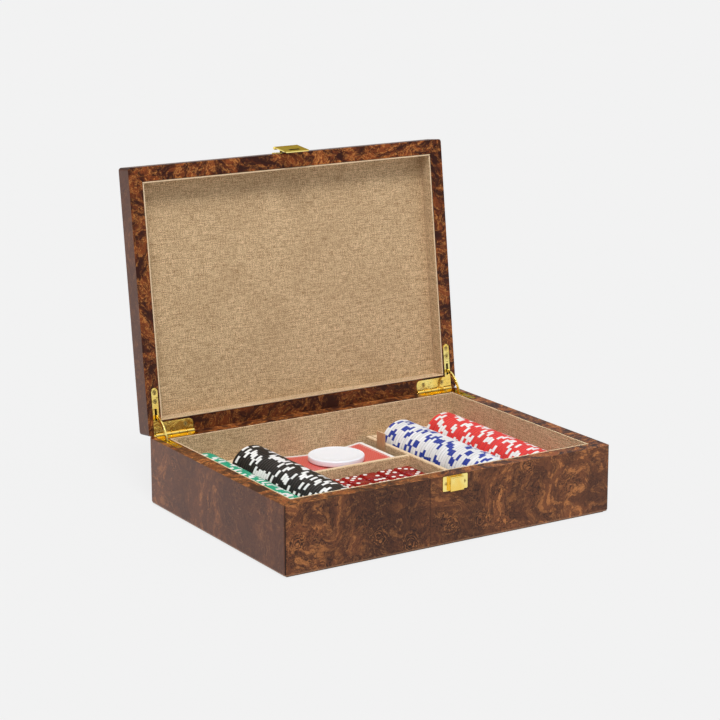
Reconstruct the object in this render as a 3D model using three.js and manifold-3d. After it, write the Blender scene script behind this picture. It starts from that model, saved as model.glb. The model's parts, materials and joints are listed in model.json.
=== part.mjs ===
// A poker set: a veneered wooden box, open, with linen wells for chips, cards and dice.
// Millimetres. X runs right along the front, Y to the hinges, Z up. The origin lies under
// the middle of the box, on the surface that it stands on.

import * as THREE from 'three';
import { mergeVertices } from 'three/addons/utils/BufferGeometryUtils.js';
import { RoundedBoxGeometry } from 'three/addons/geometries/RoundedBoxGeometry.js';
import Module from 'manifold-3d';

const wasm = await Module();
wasm.setup();

// Box casing, whose width and depth follow from what it holds
const hingeHeight = 56.7;
const lidHeight = 19.2;
const wallThickness = 12;
const cornerRadius = 2.4;
const edgeRadius = 2;
const rimGap = 0.3;
const bottomPanelThickness = 4.1;
const topPanelThickness = 4.6;
const feltThickness = 0.8;
const feltMargin = 3;
const openAngle = 96.87;

// Clearances and the overrun that every cut runs past its piece
const glueGap = 0.1;
const seatGap = 0.1;
const slideGap = 0.35;
const overrun = 2;

// Linen linings
const sideLiningThickness = 1.5;
const floorLiningThickness = 1.2;
const panelLiningThickness = 1.5;
const liningEdgeRadius = 0.6;

// Dividers, ledges and the tab, all standing on the floor lining
const dividerHeight = 24.3;
const dividerThickness = 4.6;
const dividerEdgeRadius = 1.4;
const ledgeDepth = 16.4;
const tabHeight = 34;
const tabLength = 12;
const tabThickness = 1.4;
const tabBackDistance = 19.8;

// Chips, cards, button and dice
const chipDiameter = 39;
const chipThickness = 3.4;
const chipsPerRow = 50;
const rowsPerSide = 2;
const chipEdge = 0.5;
const chipSideClearance = 1.05;
const chipEndClearance = 6.1;
const cardLength = 88;
const cardWidth = 63;
const cardCornerRadius = 3.2;
const deckThickness = 17;
const deckBow = 3.4;
const deckOffset = -0.8;
const deckBackGap = 0.6;
const cardSideClearance = 9.4;
const cardEndClearance = 1.8;
const buttonDiameter = 47.6;
const buttonThickness = 5;
const buttonEdge = 0.9;
const buttonRightOffset = 1.3;
const buttonBackOffset = 2.1;
const dieSize = 16;
const dieEdgeRadius = 2.4;
const diceGap = 1;
const dicePerRow = 5;
const diceRows = 2;
const diceSideGap = 1.7;
const diceBackGap = 0.5;

// Hinges: leaves let into the rims, a barrel on the back edge and a curved stay
const leafThickness = 1.4;
const strapWidth = 5.8;
const strapLength = 39.7;
const leafInnerMargin = 1.3;
const armLength = 41;
const armEndRadius = 4;
const barrelRadius = 2.1;
const barrelEndMargin = 5.5;
const pinRadius = 1;
const knuckles = 5;
const knuckleGap = 0.3;
const pinHoleGap = 0.08;
const stayMiddleDistance = 14.2;
const stayCurveRadius = 23;
const stayWidth = 2.6;
const stayThickness = 1.2;
const staySlotWidth = 2;
const staySlotPlay = 0.6;
const staySlotRun = 3.8;
const stayEndAngle = 5;
const stayPocketGap = 0.9;

// Catch: keeper on the lower half, plate and swinging flap on the lid
const catchPlateWidth = 23;
const catchPlateHeight = 12;
const catchPlateThickness = 0.9;
const catchCornerRadius = 1;
const catchRimMargin = 0.3;
const blockWidth = 12.6;
const blockProud = 4;
const blockEdge = 0.6;
const blockTopMargin = 0.6;
const nibWidth = 2.6;
const nibDepth = 1.2;
const nibHeight = 0.5;
const flapWidth = 22.6;
const flapThickness = 0.9;
const flapDrop = 12.1;
const flapRise = 8.4;
const flapTilt = 12;
const flapRollRadius = 1.3;
const flapCornerRadius = 1.6;
const flapBlockGap = 0.2;
const flapPivotRise = 4.3;
const flapStandoff = 1.6;
const flapBarrelRadius = 1.3;
const flapBarrelWidth = 11.6;
const flapPinRadius = 0.7;
const flapSlotWidth = 10.2;
const flapSlotHeight = 3.4;
const flapSlotDrop = 6.3;
const lugThickness = 1.2;
const lugGap = 0.3;

// Facets of round forms
const fineSegments = 40;
const roundSegments = 20;
const cornerSegments = 4;
const earSegments = 8;
const edgeSegments = 2;
const bowSegments = 10;
const staySegments = 14;
const dieSegments = 1;

// Widths that follow: five wells side by side, between linings and walls
const dicePitch = dieSize + diceGap;
const diceRowLength = dicePerRow * dicePitch - diceGap;
const cardWellWidth = Math.max(cardLength + cardSideClearance, diceRowLength + 2 * diceSideGap);
const troughWidth = chipDiameter + chipSideClearance;
const sideWellsWidth = rowsPerSide * (troughWidth + dividerThickness);
const linedWidth = cardWellWidth + 2 * sideWellsWidth;
const innerWidth = linedWidth + 2 * sideLiningThickness;
const boxWidth = innerWidth + 2 * wallThickness;
const cardDividerX = (cardWellWidth + dividerThickness) / 2;
const chipDividerX = cardDividerX + troughWidth + dividerThickness;
const innerRowX = cardDividerX + (dividerThickness + troughWidth) / 2;
const outerRowX = chipDividerX + (dividerThickness + troughWidth) / 2;

// Depths that follow: a row of chips and a ledge, between linings and walls
const chipRowLength = chipsPerRow * chipThickness;
const linedDepth = chipRowLength + chipEndClearance + ledgeDepth + seatGap;
const innerDepth = linedDepth + 2 * sideLiningThickness;
const boxDepth = innerDepth + 2 * wallThickness;
const backY = boxDepth / 2;
const cardWellDepth = cardWidth + cardEndClearance;
const crossDividerY = linedDepth / 2 - cardWellDepth - dividerThickness / 2;
const ledgeFront = linedDepth / 2 - ledgeDepth;
const deckY = (linedDepth - cardWidth) / 2 - deckBackGap;

// Heights that follow
const rimHeight = hingeHeight - rimGap / 2;
const lidRim = rimGap / 2;
const lidPanelUnderside = lidHeight - topPanelThickness;
const lidRecessDepth = lidPanelUnderside - glueGap - panelLiningThickness;
const panelTop = feltThickness + glueGap + bottomPanelThickness;
const floorTop = panelTop + floorLiningThickness;
const wellFloor = floorTop + seatGap;
const dividerTop = floorTop + dividerHeight;

// Places of the hinges and the catch that follow
const strapX = innerWidth / 2 + leafInnerMargin + strapWidth / 2;
const armDepth = wallThickness - leafInnerMargin;
const barrelEndX = boxWidth / 2 - barrelEndMargin;
const armEndX = boxWidth / 2 - armLength;
const stayReach = THREE.MathUtils.degToRad(openAngle / 2 + stayEndAngle);
const stayCurveBack = stayCurveRadius - stayMiddleDistance;
const stayEndDistance = Math.sqrt(stayCurveRadius ** 2 - (stayCurveBack * Math.sin(stayReach)) ** 2)
  - stayCurveBack * Math.cos(stayReach);
const stayHalfTurn = Math.atan2(stayEndDistance * Math.sin(stayReach),
  stayEndDistance * Math.cos(stayReach) + stayCurveBack);
const staySlotNear = stayMiddleDistance - stayWidth / 2 - staySlotPlay;
const staySlotFar = stayEndDistance + stayWidth / 2 + staySlotPlay + staySlotRun;
const flapPivotProud = blockProud + flapBlockGap - flapStandoff;

const radians = THREE.MathUtils.degToRad;

// Materials
function material(colour, roughness, metalness) {
  return new THREE.MeshStandardMaterial({ color: colour, roughness, metalness });
}

const burlWood = material(0x5a3420, 0.3, 0);
const plainPanel = material(0x3a2416, 0.5, 0);
const felt = material(0x1d1a18, 0.95, 0);
const linen = material(0xb59a76, 0.9, 0);
const brass = material(0xd8b23c, 0.25, 1);
const chipGreen = material(0x1fa583, 0.45, 0);
const chipBlack = material(0x23211f, 0.45, 0);
const chipWhite = material(0xe9e7e4, 0.45, 0);
const chipRed = material(0xd0302e, 0.45, 0);
const cardBack = material(0xc9483c, 0.5, 0);
const buttonWhite = material(0xf1eff1, 0.35, 0);
const diceRed = material(0xa3101c, 0.15, 0);

// Solids: a closed mesh becomes a solid that can be joined and cut, and a mesh again
function solidOf(geometry) {
  const bare = geometry.clone();
  bare.deleteAttribute('normal');
  bare.deleteAttribute('uv');
  const merged = mergeVertices(bare);
  return new wasm.Manifold(new wasm.Mesh({
    numProp: 3,
    vertProperties: merged.attributes.position.array,
    triVerts: Uint32Array.from(merged.index.array),
  }));
}

function geometryOf(solid) {
  const mesh = solid.getMesh();
  const geometry = new THREE.BufferGeometry();
  geometry.setAttribute('position', new THREE.BufferAttribute(mesh.vertProperties, 3));
  geometry.setIndex(new THREE.BufferAttribute(mesh.triVerts, 1));
  geometry.computeVertexNormals();
  return geometry;
}

// Adds a named mesh to a group
function addPiece(group, name, geometry, look) {
  const mesh = new THREE.Mesh(geometry, look);
  mesh.name = name;
  group.add(mesh);
  return mesh;
}

// Forms
// A flat outline given thickness from one height to another
function slab(outline, from, to, curveSegments = cornerSegments) {
  const geometry = new THREE.ExtrudeGeometry(outline, {
    depth: to - from,
    bevelEnabled: false,
    curveSegments,
  });
  return geometry.translate(0, 0, from);
}

// An outline in X and Z given length along Y
function barAlongY(outline, from, to, curveSegments = edgeSegments) {
  const geometry = slab(outline, -to, -from, curveSegments);
  return geometry.rotateX(Math.PI / 2);
}

// An outline in Y and Z given length along X
function barAlongX(outline, from, to, curveSegments = edgeSegments) {
  const geometry = slab(outline, from, to, curveSegments);
  return geometry.rotateX(Math.PI / 2).rotateZ(Math.PI / 2);
}

function roundAlongX(radius, from, to, segments = roundSegments) {
  const geometry = new THREE.CylinderGeometry(radius, radius, to - from, segments);
  return geometry.rotateZ(Math.PI / 2).translate((from + to) / 2, 0, 0);
}

function rectangle(x0, x1, y0, y1) {
  const outline = new THREE.Shape();
  outline.moveTo(x0, y0);
  outline.lineTo(x1, y0);
  outline.lineTo(x1, y1);
  outline.lineTo(x0, y1);
  outline.closePath();
  return outline;
}

function roundedRectangle(x0, x1, y0, y1, radius) {
  const outline = new THREE.Shape();
  outline.moveTo(x0 + radius, y0);
  outline.absarc(x1 - radius, y0 + radius, radius, -Math.PI / 2, 0);
  outline.absarc(x1 - radius, y1 - radius, radius, 0, Math.PI / 2);
  outline.absarc(x0 + radius, y1 - radius, radius, Math.PI / 2, Math.PI);
  outline.absarc(x0 + radius, y0 + radius, radius, Math.PI, 1.5 * Math.PI);
  return outline;
}

// A board section with square feet and two rounded top edges, from its foot to its top
function roundTopped(width, foot, top, radius) {
  const half = width / 2;
  const outline = new THREE.Shape();
  outline.moveTo(-half, foot);
  outline.lineTo(half, foot);
  outline.absarc(half - radius, top - radius, radius, 0, Math.PI / 2);
  outline.absarc(-half + radius, top - radius, radius, Math.PI / 2, Math.PI);
  outline.closePath();
  return outline;
}

// Casing: a block with rounded upright corners and rounded edges at the far face
// Its near face lies at the rim, and it reaches to the given height, above or below
function casing(rim, far) {
  const lower = Math.min(rim, far);
  const upper = Math.max(rim, far);
  const past = edgeRadius + overrun;
  const start = far < rim ? lower : lower - past;
  const height = upper - lower + past;
  const outline = roundedRectangle(-boxWidth / 2, boxWidth / 2, -boxDepth / 2, boxDepth / 2,
    cornerRadius);
  const geometry = new THREE.ExtrudeGeometry(outline, {
    depth: height - 2 * edgeRadius,
    bevelThickness: edgeRadius,
    bevelSize: edgeRadius,
    bevelOffset: -edgeRadius,
    bevelSegments: edgeSegments,
    curveSegments: cornerSegments,
  });
  return solidOf(geometry.translate(0, 0, start + edgeRadius));
}

// Plan of one mitred wall along X at the front, turned for the other three
function mitredPlan(length, depth) {
  const half = length / 2;
  const outline = new THREE.Shape();
  outline.moveTo(-half + glueGap, -depth / 2);
  outline.lineTo(half - glueGap, -depth / 2);
  outline.lineTo(half - wallThickness - glueGap, -depth / 2 + wallThickness);
  outline.lineTo(-half + wallThickness + glueGap, -depth / 2 + wallThickness);
  outline.closePath();
  return outline;
}

function wallBlocks(from, to) {
  const longPlan = mitredPlan(boxWidth, boxDepth);
  const shortPlan = mitredPlan(boxDepth, boxWidth);
  return {
    front: solidOf(slab(longPlan, from, to)),
    back: solidOf(slab(longPlan, from, to).rotateZ(Math.PI)),
    left: solidOf(slab(shortPlan, from, to).rotateZ(-Math.PI / 2)),
    right: solidOf(slab(shortPlan, from, to).rotateZ(Math.PI / 2)),
  };
}

// Hinge outlines, seen from above, for the side given as -1 for left or 1 for right
// Y is measured from the hinge line, and the rim lies toward negative Y
function leafOutline(side, margin) {
  const half = strapWidth / 2 + margin;
  const outer = side * (strapX + half);
  const inner = side * (strapX - half);
  const armEnd = side * (armEndX - margin);
  const backEdge = margin > 0 ? overrun : 0;
  const armFront = -armDepth - margin;
  const tipY = -strapLength + strapWidth / 2;
  const radius = armEndRadius;
  const outline = new THREE.Shape();
  outline.moveTo(outer, backEdge);
  outline.lineTo(outer, tipY);
  outline.absarc(side * strapX, tipY, half,
    side > 0 ? 0 : Math.PI, side > 0 ? -Math.PI : 2 * Math.PI, side > 0);
  outline.lineTo(inner, armFront);
  outline.lineTo(armEnd + side * radius, armFront);
  outline.absarc(armEnd + side * radius, armFront + radius, radius,
    -Math.PI / 2, side > 0 ? -Math.PI : 0, side > 0);
  outline.lineTo(armEnd, backEdge);
  outline.closePath();
  return outline;
}

// Span of a knuckle along X, counted from the middle of the box outward
function knuckleSpan(side, index) {
  const pitch = (barrelEndX - armEndX) / knuckles;
  const near = armEndX + index * pitch + knuckleGap / 2;
  const far = armEndX + (index + 1) * pitch - knuckleGap / 2;
  return side > 0 ? [near, far] : [-far, -near];
}

// A leaf let into a rim: into is -1 for the lower half and 1 for the lid
function hingeLeaf(side, into) {
  const face = into * lidRim;
  const deep = face + into * leafThickness;
  const from = Math.min(face, deep);
  const to = Math.max(face, deep);
  let leaf = solidOf(slab(leafOutline(side, 0), from, to));
  const slot = rectangle(side * strapX - staySlotWidth / 2, side * strapX + staySlotWidth / 2,
    -staySlotFar, -staySlotNear);
  leaf = leaf.subtract(solidOf(slab(slot, from - overrun, to + overrun)));
  for (let index = 0; index < knuckles; index += 1) {
    const [start, end] = knuckleSpan(side, index);
    const inLower = index % 2 === 0;
    if (inLower === (into < 0)) {
      leaf = leaf.add(solidOf(roundAlongX(barrelRadius, start, end)));
    } else {
      const notch = rectangle(start - knuckleGap, end + knuckleGap, -barrelRadius - slideGap, overrun);
      leaf = leaf.subtract(solidOf(slab(notch, from - overrun, to + overrun)));
    }
  }
  const reach = boxWidth / 2 + overrun;
  const hole = roundAlongX(pinRadius + pinHoleGap, -reach, reach);
  return leaf.subtract(solidOf(hole));
}

// What the hinges need cut out of a rim
function hingeCuts(side, into) {
  const deep = into * (lidRim + leafThickness + seatGap);
  const above = -into * overrun;
  const recess = slab(leafOutline(side, slideGap), Math.min(deep, above), Math.max(deep, above));
  const [start, end] = side > 0 ? [armEndX, barrelEndX] : [-barrelEndX, -armEndX];
  const groove = roundAlongX(barrelRadius + slideGap, start - slideGap, end + slideGap);
  const pocketHalf = stayThickness / 2 + stayPocketGap;
  const pocketPlan = rectangle(side * strapX - pocketHalf, side * strapX + pocketHalf,
    -staySlotFar, -stayEndDistance * Math.cos(stayReach) + stayWidth / 2 + stayPocketGap);
  const pocketDeep = into * (stayEndDistance * Math.sin(stayReach) + stayWidth / 2 + stayPocketGap);
  const pocket = slab(pocketPlan, Math.min(pocketDeep, above), Math.max(pocketDeep, above));
  return solidOf(recess).add(solidOf(groove)).add(solidOf(pocket));
}

// Pin through the knuckles
function hingePin(side) {
  const [start, end] = side > 0 ? [armEndX, barrelEndX] : [-barrelEndX, -armEndX];
  return roundAlongX(pinRadius, start, end);
}

// Stay: a strip half way between the rims, its curve flatter than a circle round the hinge line
function stayStrip(side) {
  const start = Math.PI - stayHalfTurn;
  const end = Math.PI + stayHalfTurn;
  const outer = stayCurveRadius + stayWidth / 2;
  const inner = stayCurveRadius - stayWidth / 2;
  const endAcross = stayCurveBack + stayCurveRadius * Math.cos(end);
  const endUp = stayCurveRadius * Math.sin(end);
  const outline = new THREE.Shape();
  outline.absarc(stayCurveBack, 0, outer, start, end, false);
  outline.absarc(endAcross, endUp, stayWidth / 2, end, end + Math.PI, false);
  outline.absarc(stayCurveBack, 0, inner, end, start, true);
  outline.absarc(endAcross, -endUp, stayWidth / 2, start + Math.PI, start + 2 * Math.PI, false);
  const near = side * strapX - stayThickness / 2;
  return barAlongX(outline, near, near + stayThickness, staySegments);
}

// Walls of one half, in a frame whose zero height is the hinge line
function addWalls(group, prefix, rim, far, into) {
  const block = casing(rim, far);
  const walls = wallBlocks(Math.min(rim, far), Math.max(rim, far));
  for (const [name, plan] of Object.entries(walls)) {
    let wall = block.intersect(plan);
    for (const side of [-1, 1]) {
      if (name !== 'front') {
        const cuts = geometryOf(hingeCuts(side, into)).translate(0, backY, 0);
        wall = wall.subtract(solidOf(cuts));
      }
    }
    addPiece(group, `${prefix}_wall_${name}`, geometryOf(wall), burlWood);
  }
}

// Linen boards on the four walls, each with a rounded edge at the rim
function addSideLinings(group, prefix, rim, far) {
  const thickness = sideLiningThickness - glueGap;
  const height = Math.abs(rim - far);
  const outline = roundTopped(thickness, 0, height, liningEdgeRadius);
  const sideways = linedDepth / 2;
  const lengthways = linedWidth / 2 + thickness;
  const boards = {
    front: barAlongX(outline, -lengthways, lengthways).translate(0, -linedDepth / 2 - thickness / 2, 0),
    back: barAlongX(outline, -lengthways, lengthways).translate(0, linedDepth / 2 + thickness / 2, 0),
    left: barAlongY(outline, -sideways + seatGap, sideways - seatGap)
      .translate(-linedWidth / 2 - thickness / 2, 0, 0),
    right: barAlongY(outline, -sideways + seatGap, sideways - seatGap)
      .translate(linedWidth / 2 + thickness / 2, 0, 0),
  };
  for (const [name, geometry] of Object.entries(boards)) {
    const board = rim < far ? geometry.rotateX(Math.PI) : geometry;
    const label = rim < far && name === 'front' ? 'back' : rim < far && name === 'back' ? 'front' : name;
    addPiece(group, `${prefix}_lining_${label}`, board.translate(0, 0, far), linen);
  }
}

const set = new THREE.Group();

// Lower half of the box
const lower = new THREE.Group();
lower.position.z = hingeHeight;
set.add(lower);
addWalls(lower, 'base', rimHeight - hingeHeight, feltThickness - hingeHeight, -1);

function addBottom(group) {
  const sheet = rectangle(-boxWidth / 2 + feltMargin, boxWidth / 2 - feltMargin,
    -boxDepth / 2 + feltMargin, boxDepth / 2 - feltMargin);
  addPiece(group, 'base_felt', slab(sheet, 0, feltThickness), felt);
  const halfWidth = innerWidth / 2 - glueGap;
  const halfDepth = innerDepth / 2 - glueGap;
  const panel = rectangle(-halfWidth, halfWidth, -halfDepth, halfDepth);
  addPiece(group, 'base_bottom_panel', slab(panel, feltThickness + glueGap, panelTop), plainPanel);
  addPiece(group, 'base_lining_floor', slab(panel, panelTop + glueGap, floorTop), linen);
}
addBottom(set);
addSideLinings(set, 'base', rimHeight, floorTop + glueGap);

// Dividers, ledges and tab
function addDividers(group) {
  const section = roundTopped(dividerThickness, wellFloor, dividerTop, dividerEdgeRadius);
  const back = linedDepth / 2 - seatGap;
  for (const [label, side] of [['left', -1], ['right', 1]]) {
    const long = barAlongY(section, -back, back).translate(side * cardDividerX, 0, 0);
    addPiece(group, `card_divider_${label}`, long, linen);
    const short = barAlongY(section, -back, ledgeFront - seatGap).translate(side * chipDividerX, 0, 0);
    addPiece(group, `chip_divider_${label}`, short, linen);
  }
  const half = cardWellWidth / 2 - seatGap;
  const cross = barAlongX(section, -half, half).translate(0, crossDividerY, 0);
  addPiece(group, 'cross_divider', cross, linen);
}
addDividers(set);

function addLedges(group) {
  const width = linedWidth / 2 - cardDividerX - dividerThickness / 2 - 2 * seatGap;
  const middle = linedWidth / 2 - seatGap - width / 2;
  const section = roundTopped(ledgeDepth - seatGap, wellFloor, dividerTop, dividerEdgeRadius);
  for (const [label, side] of [['left', -1], ['right', 1]]) {
    const ledge = barAlongX(section, side * middle - width / 2, side * middle + width / 2);
    ledge.translate(0, linedDepth / 2 - seatGap / 2 - ledgeDepth / 2, 0);
    addPiece(group, `ledge_${label}`, ledge, linen);
  }
}
addLedges(set);

function addTab(group) {
  const section = roundTopped(tabThickness, wellFloor, floorTop + tabHeight, liningEdgeRadius);
  const back = linedDepth / 2 - tabBackDistance;
  const tab = barAlongY(section, back - tabLength, back);
  tab.translate(cardWellWidth / 2 - seatGap - tabThickness / 2, 0, 0);
  addPiece(group, 'card_well_tab', tab, linen);
}
addTab(set);

// A row of chips lying on its edge, as one roll with a chamfer at each end
function chipRoll() {
  const radius = chipDiameter / 2;
  const half = chipRowLength / 2;
  const profile = [
    new THREE.Vector2(0, -half),
    new THREE.Vector2(radius - chipEdge, -half),
    new THREE.Vector2(radius, -half + chipEdge),
    new THREE.Vector2(radius, half - chipEdge),
    new THREE.Vector2(radius - chipEdge, half),
    new THREE.Vector2(0, half),
  ];
  return new THREE.LatheGeometry(profile, fineSegments);
}

function addChips(group) {
  const rows = [
    ['chips_green', -outerRowX, chipGreen],
    ['chips_black', -innerRowX, chipBlack],
    ['chips_white', innerRowX, chipWhite],
    ['chips_red', outerRowX, chipRed],
  ];
  for (const [name, x, look] of rows) {
    const roll = addPiece(group, name, chipRoll(), look);
    roll.position.set(x, ledgeFront - seatGap - chipRowLength / 2, wellFloor + chipDiameter / 2);
  }
}
addChips(set);

// Deck: cards lie long side along X, bowed so that both ends stand up
function bowAt(x) {
  const share = x / (cardLength / 2);
  return deckBow * share * share;
}

function deckGeometry() {
  const half = cardLength / 2;
  const section = new THREE.Shape();
  section.moveTo(-half, bowAt(half));
  for (let step = 1; step <= bowSegments; step += 1) {
    const x = -half + (cardLength * step) / bowSegments;
    section.lineTo(x, bowAt(x));
  }
  for (let step = 0; step <= bowSegments; step += 1) {
    const x = half - (cardLength * step) / bowSegments;
    section.lineTo(x, bowAt(x) + deckThickness);
  }
  section.closePath();
  const bowed = solidOf(barAlongY(section, -cardWidth / 2, cardWidth / 2));
  const plan = roundedRectangle(-half, half, -cardWidth / 2, cardWidth / 2, cardCornerRadius);
  const corners = solidOf(slab(plan, -overrun, deckThickness + deckBow + overrun));
  return geometryOf(bowed.intersect(corners));
}

function addDeck(group) {
  const deck = addPiece(group, 'card_deck', deckGeometry(), cardBack);
  deck.position.set(deckOffset, deckY, wellFloor);
}
addDeck(set);

function addButton(group) {
  const radius = buttonDiameter / 2;
  const profile = [
    new THREE.Vector2(0, 0),
    new THREE.Vector2(radius - buttonEdge, 0),
    new THREE.Vector2(radius, buttonEdge),
    new THREE.Vector2(radius, buttonThickness - buttonEdge),
    new THREE.Vector2(radius - buttonEdge, buttonThickness),
    new THREE.Vector2(0, buttonThickness),
  ];
  const disc = new THREE.LatheGeometry(profile, fineSegments).rotateX(Math.PI / 2);
  const button = addPiece(group, 'dealer_button', disc, buttonWhite);
  const seat = wellFloor + deckThickness + bowAt(radius + buttonRightOffset);
  button.position.set(deckOffset + buttonRightOffset, deckY + buttonBackOffset, seat);
}
addButton(set);

function addDice(group) {
  const cube = new RoundedBoxGeometry(dieSize, dieSize, dieSize, dieSegments, dieEdgeRadius);
  const backRowY = crossDividerY - dividerThickness / 2 - diceBackGap - dieSize / 2;
  const start = cardWellWidth / 2 - diceSideGap - diceRowLength + dieSize / 2;
  for (let row = 0; row < diceRows; row += 1) {
    for (let place = 0; place < dicePerRow; place += 1) {
      const die = addPiece(group, `die_${row + 1}_${place + 1}`, cube.clone(), diceRed);
      die.position.set(start + place * dicePitch, backRowY - row * dicePitch, wellFloor + dieSize / 2);
    }
  }
}
addDice(set);

// Keeper on the front wall, under the rim
function keeperGeometry() {
  const top = rimHeight - catchRimMargin;
  const half = catchPlateWidth / 2;
  const plan = roundedRectangle(-half, half, top - catchPlateHeight, top, catchCornerRadius);
  let keeper = solidOf(slab(plan, 0, catchPlateThickness));
  const blockTop = top - blockTopMargin;
  const block = new THREE.ExtrudeGeometry(
    rectangle(-blockWidth / 2, blockWidth / 2, top - catchPlateHeight, blockTop), {
      depth: blockProud - blockEdge,
      bevelThickness: blockEdge,
      bevelSize: blockEdge,
      bevelOffset: -blockEdge,
      bevelSegments: edgeSegments,
    });
  const behind = rectangle(-boxWidth, boxWidth, -boxWidth, boxWidth);
  keeper = keeper.add(solidOf(block).subtract(solidOf(slab(behind, -boxWidth, 0))));
  const nib = rectangle(-nibWidth / 2, nibWidth / 2, blockTop - overrun, blockTop + nibHeight);
  const nibStart = (blockProud - nibDepth) / 2;
  keeper = keeper.add(solidOf(slab(nib, nibStart, nibStart + nibDepth)));
  return geometryOf(keeper).rotateX(Math.PI / 2);
}
const keeper = addPiece(set, 'catch_keeper', keeperGeometry(), brass);
keeper.position.y = -boxDepth / 2 - glueGap;

// Lower hinge leaves, pins and stays
const hingeLine = new THREE.Group();
hingeLine.position.set(0, backY, hingeHeight);
set.add(hingeLine);
for (const [label, side] of [['left', -1], ['right', 1]]) {
  addPiece(hingeLine, `hinge_base_leaf_${label}`, geometryOf(hingeLeaf(side, -1)), brass);
  addPiece(hingeLine, `hinge_pin_${label}`, hingePin(side), brass);
  const stay = addPiece(hingeLine, `hinge_stay_${label}`, stayStrip(side), brass);
  stay.rotation.x = -radians(openAngle / 2);
}

// Lid, modelled shut and turned open about the hinge line
const lidTurn = new THREE.Group();
lidTurn.rotation.x = -radians(openAngle);
hingeLine.add(lidTurn);
for (const [label, side] of [['left', -1], ['right', 1]]) {
  addPiece(lidTurn, `hinge_lid_leaf_${label}`, geometryOf(hingeLeaf(side, 1)), brass);
}
const lid = new THREE.Group();
lid.position.y = -backY;
lidTurn.add(lid);
addWalls(lid, 'lid', lidRim, lidHeight, 1);

function addLidPanel(group) {
  const halfWidth = innerWidth / 2 - glueGap;
  const halfDepth = innerDepth / 2 - glueGap;
  const panel = rectangle(-halfWidth, halfWidth, -halfDepth, halfDepth);
  addPiece(group, 'lid_top_panel', slab(panel, lidPanelUnderside, lidHeight), burlWood);
  addPiece(group, 'lid_lining_panel', slab(panel, lidRecessDepth, lidPanelUnderside - glueGap), linen);
}
addLidPanel(lid);
addSideLinings(lid, 'lid', lidRim, lidRecessDepth - glueGap);

// Ear round the flap's pin, with straight sides down to its seat
function earOutline(seat) {
  const outline = new THREE.Shape();
  outline.moveTo(-flapBarrelRadius, seat);
  outline.lineTo(flapBarrelRadius, seat);
  outline.absarc(0, 0, flapBarrelRadius, 0, seat < 0 ? Math.PI : -Math.PI, seat > 0);
  outline.closePath();
  return outline;
}

// Catch plate with two lugs on the front of the lid
function catchPlateGeometry() {
  const half = catchPlateWidth / 2;
  const bottom = lidRim + catchRimMargin;
  const plan = roundedRectangle(-half, half, bottom, bottom + catchPlateHeight, catchCornerRadius);
  let plate = solidOf(slab(plan, 0, catchPlateThickness));
  const lugOutline = earOutline(-flapPivotProud);
  for (const side of [-1, 1]) {
    const near = flapBarrelWidth / 2 + lugGap;
    const from = side > 0 ? near : -near - lugThickness;
    const lug = barAlongX(lugOutline, from, from + lugThickness, earSegments);
    plate = plate.add(solidOf(lug.translate(0, flapPivotRise, flapPivotProud)));
  }
  const hole = roundAlongX(flapPinRadius + pinHoleGap, -half, half);
  plate = plate.subtract(solidOf(hole.translate(0, flapPivotRise, flapPivotProud)));
  return geometryOf(plate).rotateX(Math.PI / 2);
}
const catchPlate = addPiece(lid, 'catch_plate', catchPlateGeometry(), brass);
catchPlate.position.y = -boxDepth / 2 - glueGap;

// Flap: a plate with a slot, a rolled upper edge and an ear on its back for the pin
function flapGeometry() {
  const half = flapWidth / 2;
  const bottom = -flapDrop - flapPivotRise;
  const top = flapRise - flapPivotRise;
  const back = flapStandoff;
  const outline = roundedRectangle(-half, half, bottom, top, flapCornerRadius);
  let flap = solidOf(slab(outline, back, back + flapThickness));
  const slotMiddle = bottom + flapSlotDrop;
  const slot = rectangle(-flapSlotWidth / 2, flapSlotWidth / 2,
    slotMiddle - flapSlotHeight / 2, slotMiddle + flapSlotHeight / 2);
  flap = flap.subtract(solidOf(slab(slot, back - overrun, back + overrun)));
  const roll = roundAlongX(flapRollRadius, -half, half);
  flap = flap.add(solidOf(roll.translate(0, top, back + flapThickness - flapRollRadius)));
  const ear = earOutline(back + flapThickness / 2);
  flap = flap.add(solidOf(barAlongX(ear, -flapBarrelWidth / 2, flapBarrelWidth / 2, earSegments)));
  flap = flap.subtract(solidOf(roundAlongX(flapPinRadius + pinHoleGap, -half, half)));
  return geometryOf(flap).rotateX(Math.PI / 2);
}

const flapPivot = new THREE.Group();
flapPivot.position.set(0, -boxDepth / 2 - glueGap - flapPivotProud, flapPivotRise);
lid.add(flapPivot);
const flapReach = flapBarrelWidth / 2 + lugGap + lugThickness;
addPiece(flapPivot, 'catch_pin', roundAlongX(flapPinRadius, -flapReach, flapReach), brass);
const flap = addPiece(flapPivot, 'catch_flap', flapGeometry(), brass);
flap.rotation.x = radians(flapTilt);

export default set;
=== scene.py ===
"""A poker set in a lined burl box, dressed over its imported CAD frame. Lengths are in metres."""
import json
import math

import bmesh
import bpy
import numpy as np
from mathutils import Matrix, Vector

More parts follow.
